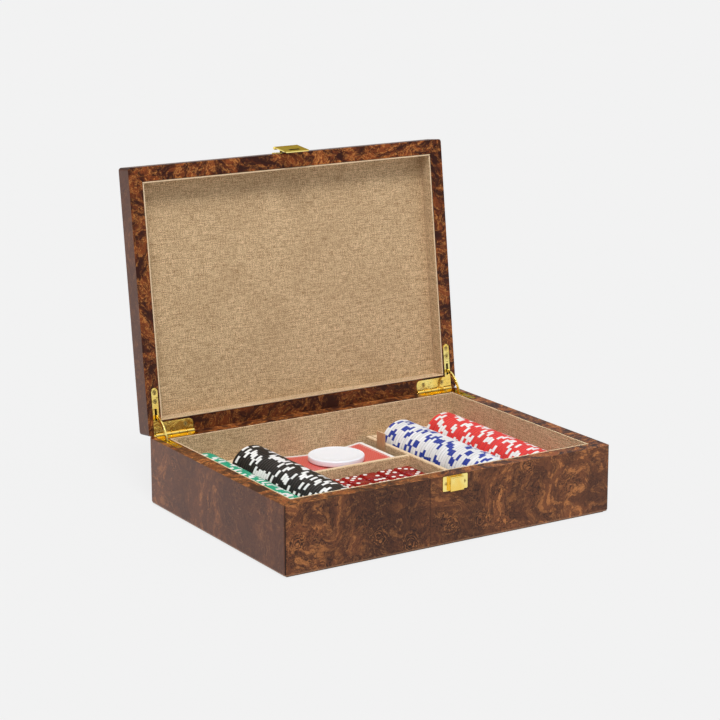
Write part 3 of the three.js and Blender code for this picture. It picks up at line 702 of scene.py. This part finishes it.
def chip_row_mesh(name, node, seed):
    """Fifty chips as one closed tube. Along the row a chip's radius is full over most of its
    thickness and drops by the edge's rounding at both faces; the first and last chip close with
    rings of falling radius, a shallow groove among them. Around it, u is the turn plus the
    chip's own random turn, and v is the share of the radius, or on the edge 1, falling to 0.95
    where two chips meet."""
    draw = np.random.default_rng(seed)
    low, _, middle = box_of(node)
    shares = np.array([0.0, 0.05, 0.15, 0.85, 0.95, 1.0])
    drops = np.array([1.0, 0.3, 0.0, 0.0, 0.3, 1.0]) * CHIP_EDGE_ROUND
    chip = np.repeat(np.arange(CHIP_COUNT), len(shares))
    inside = np.tile(shares, CHIP_COUNT) * (CHIP_THICK - 2 * CHIP_GAP) + CHIP_GAP
    place_y = low[1] + chip * CHIP_THICK + inside
    radius = CHIP_RADIUS - np.tile(drops, CHIP_COUNT)
    aside = draw.uniform(-CHIP_SLIP, CHIP_SLIP, CHIP_COUNT)[chip]
    turn = draw.uniform(0, 1, CHIP_COUNT)[chip]
    shade = draw.uniform(0, 1, CHIP_COUNT)[chip]
    rim_share = np.tile([0.95, 0.98, 1.0, 1.0, 0.98, 0.95], CHIP_COUNT)
    face_radius = np.array(CHIP_FACE_RINGS) * CHIP_RADIUS
    face_depth = np.array(CHIP_FACE_DEPTHS)
    count = len(face_radius)
    place_y = np.concatenate([(place_y[0] + face_depth)[::-1], place_y, place_y[-1] - face_depth])
    radius = np.concatenate([face_radius[::-1], radius, face_radius])
    rim_share = np.concatenate([face_radius[::-1] / CHIP_RADIUS, rim_share,
                                face_radius / CHIP_RADIUS])
    aside, turn, shade = (np.pad(values, count, mode="edge") for values in (aside, turn, shade))
    angle = turns(CHIP_STEPS)
    points = np.stack([middle[0] + aside[:, None] + radius[:, None] * np.cos(angle),
                       np.repeat(place_y[:, None], CHIP_STEPS, 1),
                       middle[2] + radius[:, None] * np.sin(angle)], -1)
    round_share = np.arange(CHIP_STEPS + 1) / CHIP_STEPS
    uv = np.stack([round_share[None, :] + turn[:, None],
                   np.repeat(rim_share[:, None], CHIP_STEPS + 1, 1)], -1)
    return ring_mesh(name, points, uv, np.repeat(shade[:, None], CHIP_STEPS, 1))


def chip_clay(name, ground, spot):
    """Moulded chip: a ground colour with rectangular spots at equal turns, wiped over the rim
    onto the face, a little different from chip to chip, with a fine grain, and a painted shade
    in the groove where two chips meet."""
    finish = Finish(name)
    turn, rim = finish.mapped()
    spot_share = SPOT_LENGTH * CHIP_SPOTS / (2 * math.pi * CHIP_RADIUS)
    off = abs((turn * CHIP_SPOTS).share() - 0.5)
    spots = off.between(spot_share / 2 + 0.006, spot_share / 2 - 0.006) * rim.between(0.80, 0.81)
    own = finish.own_shade()
    grain = finish.clouds(900.0, 4.0, 0.65)
    cloud = finish.clouds(70.0, 3.0)
    deep = tuple(round(share * 0.92) for share in ground)
    deep_spot = tuple(round(share * 0.94) for share in spot)
    worn = (own * 0.4 + grain * 0.7).between(0.2, 0.9)
    tone = finish.mix(worn, deep, ground)
    ink = finish.mix(worn, deep_spot, spot)
    tone = finish.mix(spots, tone, ink)
    # Painted shade: a dark line in the groove where two chips meet.
    gap_painted_shade = rim.between(0.995, 0.955) * rim.between(0.94, 0.945)
    tone = finish.mix(gap_painted_shade * 0.55, tone, (30, 27, 26))
    return finish.surface(Base_Color=tone, Roughness=cloud * 0.2 + 0.34,
                          Normal=finish.raised(grain, 0.00003), Specular_IOR_Level=0.35)


CHIP_KINDS = {"green": ((14, 166, 128), (240, 241, 240), 11),
              "black": ((19, 17, 17), (248, 248, 247), 23),
              "white": ((240, 241, 244), (34, 60, 160), 37),
              "red": ((230, 56, 55), (244, 242, 241), 41)}
for chip_name, (chip_ground, chip_spot, chip_seed) in CHIP_KINDS.items():
    chip_node = "chips_" + chip_name
    piece_of(chip_row_mesh("row_of_" + chip_node, chip_node, chip_seed), "row_" + chip_name,
             "chip_" + chip_name, chip_clay(chip_node + "_clay", chip_ground, chip_spot),
             chip_node)


# The deck of cards, fifty-four of plastic-coated card lying loose in their well, bowed a little
# so that both short ends stand up. The backs are printed in one red with a fine lattice inside a
# white border.
CARD_COUNT = 54
CARD_CORNER = 0.0032
CARD_BORDER = 0.0034
DECK_THICK = 0.017
DECK_BOW = 0.0034
CARD_SLIP = 0.00018
CARD_SLIP_SHARE_Y = 0.8
CARD_EDGE_IN = 0.00007
CARD_SIDE_STEPS, CARD_CORNER_STEPS = 22, 6
DECK_CLOSING_RINGS = 13


def rounded_outline(half_x, half_y, corner, side_steps, corner_steps):
    """Points round a rectangle with quarter-circle corners, anticlockwise from its right side."""
    quarter = np.linspace(0, math.pi / 2, corner_steps, endpoint=False)
    run = np.linspace(-1, 1, side_steps, endpoint=False)
    sides = []
    for turned in range(4):
        reach_x, reach_y = (half_x, half_y) if turned % 2 == 0 else (half_y, half_x)
        side = np.stack([np.full(side_steps, reach_x), run * (reach_y - corner)], -1)
        bend = np.stack([reach_x - corner + corner * np.cos(quarter),
                         reach_y - corner + corner * np.sin(quarter)], -1)
        swing = np.array([[math.cos(turned * math.pi / 2), math.sin(turned * math.pi / 2)],
                          [-math.sin(turned * math.pi / 2), math.cos(turned * math.pi / 2)]])
        sides.append(np.vstack([side, bend]) @ swing)
    return np.vstack(sides)


def deck_mesh(name, node):
    """The deck as one closed surface. Each card is a ring at its lower and upper face and one
    slightly wider ring between them, shifted by the card's own slip; the top and bottom close
    with rings that shrink to the middle. Height follows a parabola of x."""
    draw = np.random.default_rng(5)
    low, high, middle = box_of(node)
    half = (high[:2] - low[:2]) / 2
    outline = rounded_outline(half[0], half[1], CARD_CORNER, CARD_SIDE_STEPS,
                              CARD_CORNER_STEPS)
    thick = DECK_THICK / CARD_COUNT
    card = np.repeat(np.arange(CARD_COUNT), 3)
    height = (card + np.tile([0.04, 0.5, 0.96], CARD_COUNT)) * thick
    inset = np.tile([CARD_EDGE_IN, 0.0, CARD_EDGE_IN], CARD_COUNT)
    slip = draw.uniform(-1, 1, (CARD_COUNT, 2))[card] * CARD_SLIP
    slip[:, 1] *= CARD_SLIP_SHARE_Y
    closing = DECK_CLOSING_RINGS
    shrink = np.linspace(1, 0.03, closing + 1)[1:]
    size = np.concatenate([shrink[::-1], 1 - inset / half[0], shrink])
    height = np.pad(height, closing, mode="edge")
    slip = np.pad(slip, ((closing, closing), (0, 0)), mode="edge")
    shade = np.pad(draw.uniform(0, 1, CARD_COUNT)[card], closing, mode="edge")
    flat = outline[None] * size[:, None, None] * (1 - CARD_SLIP / half[1]) + slip[:, None]
    rise = DECK_BOW * (flat[..., 0] / half[0]) ** 2
    points = np.concatenate([flat + middle[:2],
                             (low[2] + height[:, None] + rise)[..., None]], -1)
    uv = np.concatenate([flat, flat[:, :1]], 1)
    shades = np.repeat(shade[:, None], flat.shape[1], 1)
    return ring_mesh(name, points, uv, shades), half


deck_surface, deck_half = deck_mesh("deck_of_cards", "card_deck")


def printed_card(half):
    """The cards: white paper edges, card by card, and on the flat faces a red back whose fine
    lattice of two sets of lines stays inside a white border and one thin frame line."""
    finish = Finish("printed_card")
    x, y = (part * 1000 for part in finish.mapped())
    face = abs(finish.parts("Normal")[2]).between(0.7, 0.85)
    to_end = half[0] * 1000 - abs(x)
    to_side = half[1] * 1000 - abs(y)
    near = to_end.math("MINIMUM", to_end, to_side)
    border = CARD_BORDER * 1000
    inside = near.between(border - 0.06, border + 0.06)
    line = near.between(border + 1.0, border + 1.1) * near.between(border + 1.5, border + 1.4)
    stripe = abs((y * 0.62).share() - 0.5).between(0.17, 0.10)
    rungs = abs((x * 0.42 + y * 0.31).share() - 0.5).between(0.10, 0.05)
    rungs_back = abs((x * 0.42 - y * 0.31).share() - 0.5).between(0.10, 0.05)
    inner = near.between(border + 1.5, border + 1.6)
    lattice = stripe.math("MAXIMUM", stripe * 0.20, (rungs + rungs_back) * 0.10) * inner
    dots = finish.clouds(500.0)
    red = finish.mix(dots, (198, 46, 34), (214, 58, 44))
    back = finish.mix(lattice + line * 0.8, red, (240, 236, 232))
    paper = finish.mix(dots, (232, 230, 226), (244, 243, 240))
    back = finish.mix(inside, paper, back)
    own = finish.own_shade()
    stack = finish.mix(own, (206, 202, 194), (240, 238, 233))
    tone = finish.mix(face, stack, back)
    return finish.surface(Base_Color=tone, Roughness=dots * 0.12 + 0.32,
                          Normal=finish.raised(dots, 0.00001), Coat_Weight=0.25,
                          Coat_Roughness=0.18)


piece_of(deck_surface, "deck", "card_back", printed_card(deck_half), "card_deck")


# The dealer's button: a thick white plastic disc on the cards, turned with a rounded edge and a
# shallow moulded step inside its rim. Its top is left plain, with the fine stipple of the mould.
BUTTON_ROUND = 0.0011
BUTTON_STEP = 0.00010
BUTTON_STEPS = 128


def button_mesh(name, node):
    """A profile of radius and height turned about the upright axis: a flat bottom, two rounded
    corners that are quarter circles, a rim, a small step down and a flat middle."""
    low, high, middle = box_of(node)
    radius, thick = (high[0] - low[0]) / 2, high[2] - low[2]
    bend = np.linspace(0, math.pi / 2, 7)
    under = np.stack([radius - BUTTON_ROUND + BUTTON_ROUND * np.sin(bend),
                      BUTTON_ROUND - BUTTON_ROUND * np.cos(bend)], -1)
    over = np.stack([radius - BUTTON_ROUND + BUTTON_ROUND * np.cos(bend),
                     thick - BUTTON_ROUND + BUTTON_ROUND * np.sin(bend)], -1)
    floor_ring = np.array([[0.05, 0], [0.5, 0], [0.9, 0]]) * radius
    top_height = np.array([0, 0, 0.4, 1.0, 1.0, 1.0, 1.0]) * BUTTON_STEP
    top_radius = np.array([0.93, 0.905, 0.898, 0.89, 0.6, 0.3, 0.05]) * radius
    top = np.stack([top_radius, thick - top_height], -1)
    profile = np.vstack([floor_ring, under, over, top])
    angle = turns(BUTTON_STEPS)
    points = np.stack([middle[0] + profile[:, :1] * np.cos(angle),
                       middle[1] + profile[:, :1] * np.sin(angle),
                       np.repeat(low[2] + profile[:, 1:], BUTTON_STEPS, 1)], -1)
    return ring_mesh(name, points)


def white_plastic():
    """White moulded plastic: a fine stipple, faint clouds and a soft gloss."""
    finish = Finish("white_plastic")
    stipple = finish.clouds(1500.0, 2.0)
    cloud = finish.clouds(60.0, 3.0)
    tone = finish.mix(cloud, (237, 242, 249), (244, 248, 254))
    tone = finish.mix(stipple.between(0.5, 0.35) * 0.12, tone, (214, 212, 210))
    return finish.surface(Base_Color=tone, Roughness=cloud * 0.12 + 0.30,
                          Normal=finish.raised(stipple, 0.00004))


piece_of(button_mesh("button_of_dealer", "dealer_button"), "button", "button_white",
         white_plastic(), "dealer_button")


# Ten dice in two rows of five: clear dark red resin cubes with softly rounded corners. The
# pips are drilled and filled flush with white paint, and opposite faces add up to seven.
DIE_ROUND = 0.0018
PIP_RADIUS = 0.00186
PIP_DEPTH = 0.0007
PIP_SPREAD = 0.0037
PIP_TAPER = 0.96
PIP_PROUD = 0.00002
PIP_STEPS = 14
PIP_SPOTS = {1: [(0, 0)], 2: [(-1, 1), (1, -1)], 3: [(-1, 1), (0, 0), (1, -1)],
             4: [(-1, -1), (-1, 1), (1, -1), (1, 1)],
             5: [(-1, -1), (-1, 1), (0, 0), (1, -1), (1, 1)],
             6: [(-1, 1), (0, 1), (1, 1), (-1, -1), (0, -1), (1, -1)]}
NUMBER_AXES = {1: (1, 0, 0), 2: (0, 1, 0), 3: (0, 0, 1), 4: (0, 0, -1), 5: (0, -1, 0),
               6: (-1, 0, 0)}


def die_block(name, node):
    """A cube whose corners are rounded: a point of a cube's grid is moved onto a sphere of the
    rounding's radius round the nearest point of a smaller cube inside."""
    low, high, middle = box_of(node)
    half = (high[0] - low[0]) / 2
    bend = np.tan(np.radians([9, 18, 27, 36, 45])) * DIE_ROUND
    edge = half - DIE_ROUND
    lines = np.concatenate([-(edge + bend[::-1]), np.linspace(-edge, edge, 7), edge + bend])
    count = len(lines)
    across, up = np.meshgrid(lines, lines, indexing="ij")
    flat = np.full(across.shape, half)
    faces = [np.stack(grid, -1) for grid in
             ((flat, across, up), (-flat, up, across), (up, flat, across), (across, -flat, up),
              (across, up, flat), (up, across, -flat))]
    cube = np.stack(faces).reshape(-1, 3)
    core = np.clip(cube, -edge, edge)
    out = cube - core
    far = np.linalg.norm(out, axis=1, keepdims=True)
    points = core + out / far * DIE_ROUND
    index = np.arange(6 * count * count).reshape(6, count, count)
    quads = np.stack([index[:, :-1, :-1], index[:, 1:, :-1], index[:, 1:, 1:],
                      index[:, :-1, 1:]], -1).reshape(-1, 4)
    _, first, same = np.unique(np.round(points * 1e6), axis=0, return_index=True,
                               return_inverse=True)
    quads = same.reshape(-1)[quads]
    mesh = bpy.data.meshes.new(name)
    mesh.from_pydata((points[first] + middle).tolist(), [], quads.tolist())
    mesh.shade_smooth()
    return mesh


def pip_mesh(name, node, top, front, turned):
    """Every pip of a die as a short closed cylinder sunk into its face. A face's number is found
    by crossing the top number's axis with the front's, as on a right-handed die."""
    low, high, middle = box_of(node)
    half = (high[0] - low[0]) / 2
    axes = {value: np.array(axis) for value, axis in NUMBER_AXES.items()}
    right = next(value for value, axis in axes.items()
                 if (axis == np.cross(axes[top], axes[front])).all())
    sides = [(top, (1, 0, 0), (0, 1, 0), (0, 0, 1)), (7 - top, (1, 0, 0), (0, -1, 0), (0, 0, -1)),
             (front, (1, 0, 0), (0, 0, 1), (0, -1, 0)),
             (7 - front, (-1, 0, 0), (0, 0, 1), (0, 1, 0)),
             (right, (0, 1, 0), (0, 0, 1), (1, 0, 0)),
             (7 - right, (0, -1, 0), (0, 0, 1), (-1, 0, 0))]
    frames = np.concatenate([[np.array([u, v, n], float)] * len(PIP_SPOTS[value])
                             for value, u, v, n in sides])
    spots = np.concatenate([np.array(PIP_SPOTS[value], float) for value, *_ in sides])
    if turned:
        spots[:len(PIP_SPOTS[top]), 0] *= -1
    angle = turns(PIP_STEPS)
    ring = np.stack([np.cos(angle), np.sin(angle)], -1) * PIP_RADIUS
    flat = spots[:, None, None] * PIP_SPREAD + np.stack([ring, ring * PIP_TAPER])[None]
    level = np.array([half - PIP_DEPTH, half + PIP_PROUD])[None, :, None, None]
    local = np.concatenate([flat, np.broadcast_to(level, (*flat.shape[:3], 1))], -1)
    ends = np.concatenate([np.repeat(spots[:, None] * PIP_SPREAD, 2, 1),
                           np.broadcast_to(level[:, :, 0], (len(spots), 2, 1))], -1)
    local = np.concatenate([local.reshape(len(spots), -1, 3), ends], 1)
    points = np.einsum("pki,pij->pkj", local, frames) + middle
    each = 2 * PIP_STEPS + 2
    j = np.arange(PIP_STEPS)
    k = (j + 1) % PIP_STEPS
    wall = np.stack([j, k, k + PIP_STEPS, j + PIP_STEPS], -1)
    bottom = np.stack([np.full(PIP_STEPS, each - 2), k, j], -1)
    lid = np.stack([np.full(PIP_STEPS, each - 1), j + PIP_STEPS, k + PIP_STEPS], -1)
    start = (np.arange(len(spots)) * each)[:, None, None]
    mesh = bpy.data.meshes.new(name)
    mesh.from_pydata(points.reshape(-1, 3).tolist(), [],
                     (wall[None] + start).reshape(-1, 4).tolist()
                     + (np.concatenate([bottom, lid])[None] + start).reshape(-1, 3).tolist())
    return mesh


def red_resin():
    """Clear dark red resin with faint clouds inside and fine polishing marks."""
    finish = Finish("red_resin")
    cloud = finish.clouds(120.0, 3.0)
    marks = finish.noise(finish.place((300, 900, 300)), 1.0, 4.0)
    tone = finish.mix(cloud.between(0.3, 0.7), (158, 3, 18), (196, 6, 26))
    return finish.surface(Base_Color=tone, Roughness=marks * 0.08 + 0.04, IOR=1.49,
                          Transmission_Weight=0.40, Specular_IOR_Level=0.35,
                          Normal=finish.raised(marks, 0.000006))


def pip_paint():
    """White filling paint, very slightly uneven."""
    finish = Finish("pip_paint")
    uneven = finish.clouds(1600.0, 3.0)
    tone = finish.mix(uneven, (244, 243, 241), (252, 251, 249))
    return finish.surface(Base_Color=tone, Roughness=uneven * 0.2 + 0.25,
                          Normal=finish.raised(uneven, 0.00002))


DICE_LIE = {"1_5": (3, 1, False), "1_4": (5, 3, False), "1_3": (2, 6, False),
            "1_2": (5, 4, False), "1_1": (4, 2, False), "2_5": (3, 6, True),
            "2_4": (4, 1, False), "2_3": (6, 5, False), "2_2": (2, 1, False),
            "2_1": (5, 6, False)}
resin, paint = red_resin(), pip_paint()
for die_place, (die_top, die_front, die_turned) in DICE_LIE.items():
    die_node = "die_" + die_place
    piece_of(die_block("dice_block_" + die_place, die_node), die_node, "dice_red", resin,
             die_node)
    piece_of(pip_mesh("dice_pips_" + die_place, die_node, die_top, die_front, die_turned),
             die_node, "dice_red", paint)


# The fittings: stamped, polished and lacquered brass. Two box hinges with a pin through rolled
# knuckles and a curved stay each, a keeper plate with a raised block, and a catch plate with a
# swinging flap on its pin. Their rolled and cut edges are broken by a small radius.
BRASS_EDGE = 0.00016
SMOOTH_BRASS = 28
FLAP_SLOT_HALF = 0.0051
SLOT_WALL_WITHIN = 2e-5
BACKING_SHADE_HALF = 0.0075


def polished_brass(name, shade_half=0.0):
    """Yellow brass: warm and pale patches, tarnish freckles, fine polishing lines and the slight
    waves of a stamped sheet. Nearer the middle than the given half width it is painted near
    black, as painted shade under the catch's flap."""
    finish = Finish(name)
    slow = finish.clouds(60.0, 3.0)
    lines = finish.noise(finish.place((2600, 2600, 180)), 1.0, 4.0, 0.6)
    dents = finish.clouds(230.0, 2.0)
    freckles = finish.clouds(700.0, 4.0, 0.7).between(0.62, 0.74)
    tone = finish.mix(slow.between(0.35, 0.65), (251, 213, 108), (255, 236, 148))
    tone = finish.mix(freckles * 0.35, tone, (186, 146, 62))
    if shade_half:
        # Painted shade: the backing under the flap is painted near black.
        under_flap_shade = abs(finish.parts("Object")[0]).between(shade_half + 0.001, shade_half)
        tone = finish.mix(under_flap_shade, tone, (46, 32, 10))
    return finish.surface(Base_Color=tone, Metallic=1.0, Specular_Tint=colour(255, 226, 140),
                          Roughness=slow * 0.10 + freckles * 0.15 + 0.08,
                          Normal=finish.raised(lines * 0.07 + dents, 0.00017))


brass = polished_brass("polished_brass")


def brass_part(node, name, material=brass):
    """A brass fitting with its arrises broken."""
    return rounded_copy(node, name, material, BRASS_EDGE, SMOOTH_BRASS)


def slot_painted_shade():
    """The cut walls of a slot, painted nearly black as painted shade inside the slot, with coarse
    file marks.
    """
    finish = Finish("slot_painted_shade")
    marks = finish.noise(finish.place((900, 2500, 2500)), 1.0, 3.0)
    tone = finish.mix(marks, (30, 22, 10), (56, 42, 18))
    return finish.surface(Base_Color=tone, Roughness=marks * 0.2 + 0.5, Metallic=0.6)


def shade_slot_walls(mesh, half, material):
    """Gives a slot's end walls their painted shade: every face whose corners all lie at the slot's
    half width from the middle."""
    mesh.materials.append(material)
    far = np.abs(numbers(mesh.vertices, "co", np.float32, 3)[::3])
    on_wall = np.abs(far - half) <= SLOT_WALL_WITHIN
    walls = np.logical_and.reduceat(on_wall[numbers(mesh.loops, "vertex_index")],
                                    numbers(mesh.polygons, "loop_start"))
    mesh.polygons.foreach_set("material_index", walls.astype(np.int32))


for hinge_side in ("left", "right"):
    brass_part("hinge_base_leaf_" + hinge_side, "hinge_lower_leaf_" + hinge_side)
    brass_part("hinge_lid_leaf_" + hinge_side, "hinge_upper_leaf_" + hinge_side)
    brass_part("hinge_pin_" + hinge_side, "hinge_rod_" + hinge_side)
    brass_part("hinge_stay_" + hinge_side, "hinge_arc_" + hinge_side)
brass_part("catch_keeper", "catch_block")
brass_part("catch_plate", "catch_backing", polished_brass("brass_backing", BACKING_SHADE_HALF))
# Painted shade: the flap's slot walls are painted nearly black.
shade_slot_walls(brass_part("catch_flap", "catch_swing").data, FLAP_SLOT_HALF, slot_painted_shade())
brass_part("catch_pin", "catch_rod")


# The screws: small cross-head screws with countersunk heads, four to a hinge leaf and two to the
# keeper. They are brass like the plates and lie almost flush, so that the leaves can meet; the
# crosses and a ring round each head are painted dark, partly as old polish and partly as painted
# shade in the sunk cross and the gap round the head.
LID_OPEN = math.radians(96.87)
RIM_GAP = 0.00015
SCREW_RISE = 0.0001
STRAP_SCREWS = (0.0356, 0.0285)
ARM_SCREWS = ((0.1176, 0.0065), (0.1370, 0.0062))
HINGE_SCREW = 0.0019
CATCH_SCREW = 0.0014
SCREW_STEPS = 64
CROSS_HALF = 0.17
CROSS_REACH = 0.72
STRAP_HALF_WIDTH = 0.0029
SCREW_TURNS = (0.5, 1.3, 0.35)
KEEPER_FACE = 0.0009
KEEPER_SCREW_X = 0.0087
HINGE_LINE = box_of("hinge_pin_right")[2] * (0, 1, 1)
STRAP_X = box_of("hinge_base_leaf_right")[1][0] - STRAP_HALF_WIDTH


def screw_mesh(name, place, across, up, radius):
    """A low dome turned about its axis, out to a thin skirt under the plate. Its shade is 1 in a
    cross and in a ring near the edge: where the distance to either arm of the cross is under its
    half width, out to the cross's reach, or where the radius is past nine tenths."""
    shares = np.array([1.0, 1.0, 0.93, 0.88, 0.80, 0.72, 0.64, 0.56, 0.48, 0.40, 0.32, 0.24, 0.17,
                       0.10, 0.04])
    level = SCREW_RISE * (1 - shares ** 4)
    level[0] = -SCREW_RISE
    angle = turns(SCREW_STEPS)
    first = shares[:, None] * np.cos(angle)
    second = shares[:, None] * np.sin(angle)
    near = np.minimum(np.abs(first), np.abs(second))
    far = np.maximum(np.abs(first), np.abs(second))
    cross = np.clip((CROSS_HALF - near) / 0.05, 0, 1) * np.clip((CROSS_REACH - far) / 0.08, 0, 1)
    shades = np.maximum(cross, (shares[:, None] > 0.9) * 1.0)
    out = np.cross(across, up)
    points = (np.array(place) + first[..., None] * radius * np.array(across)
              + second[..., None] * radius * np.array(up) + level[:, None, None] * out)
    return ring_mesh(name, points, shades=shades)


def screw_brass():
    """Brass, painted dark where the mesh's shade is high, partly as old polish and partly as
    painted shade, and with turning marks.
    """
    finish = Finish("screw_brass")
    polish_and_shade = finish.own_shade()
    marks = finish.clouds(1500.0, 3.0)
    tone = finish.mix(marks, (232, 196, 104), (248, 224, 138))
    # Painted dark in the crosses and round the heads: partly old polish, partly painted shade.
    tone = finish.mix(polish_and_shade * 0.95, tone, (52, 32, 8))
    return finish.surface(Base_Color=tone, Metallic=1 - polish_and_shade * 0.6,
                          Roughness=marks * 0.15 + polish_and_shade * 0.3 + 0.12,
                          Normal=finish.raised(marks, 0.00001))


screw_finish = screw_brass()


def lid_open(closed):
    """Points or directions of the closed lid, turned about the hinge line to the open one."""
    turn = np.array([[1, 0, 0], [0, math.cos(LID_OPEN), math.sin(LID_OPEN)],
                     [0, -math.sin(LID_OPEN), math.cos(LID_OPEN)]])
    return np.array(closed) @ turn.T


def screw(name, place, across, up, radius, body):
    """Puts one screw on a body."""
    piece_of(screw_mesh(name, place, across, up, radius), body, "brass", screw_finish)


for hinge_side, hinge_sign in (("left", -1), ("right", 1)):
    screw_spots = ([(hinge_sign * STRAP_X, -distance) for distance in STRAP_SCREWS]
                   + [(hinge_sign * x, -distance) for x, distance in ARM_SCREWS])
    for screw_index, (screw_x, screw_y) in enumerate(screw_spots):
        first_turn, each_turn, side_turn = SCREW_TURNS
        turned = first_turn + each_turn * screw_index + hinge_sign * side_turn
        one = np.array([math.cos(turned), math.sin(turned), 0])
        two = np.array([-math.sin(turned), math.cos(turned), 0])
        screw(f"screw_{hinge_side}_box_{screw_index + 1}",
              HINGE_LINE + (screw_x, screw_y, -RIM_GAP), one, two, HINGE_SCREW, "base")
        screw(f"screw_{hinge_side}_lid_{screw_index + 1}",
              HINGE_LINE + lid_open((screw_x, screw_y, RIM_GAP)), lid_open(two), lid_open(one),
              HINGE_SCREW, "lid")

_, keeper_high, keeper_middle = box_of("catch_keeper")
for screw_sign, screw_label in ((-1, "left"), (1, "right")):
    screw("screw_keeper_" + screw_label,
          (screw_sign * KEEPER_SCREW_X, keeper_high[1] - KEEPER_FACE, keeper_middle[2]),
          (1, 0, 0), (0, 0, 1), CATCH_SCREW, "base")
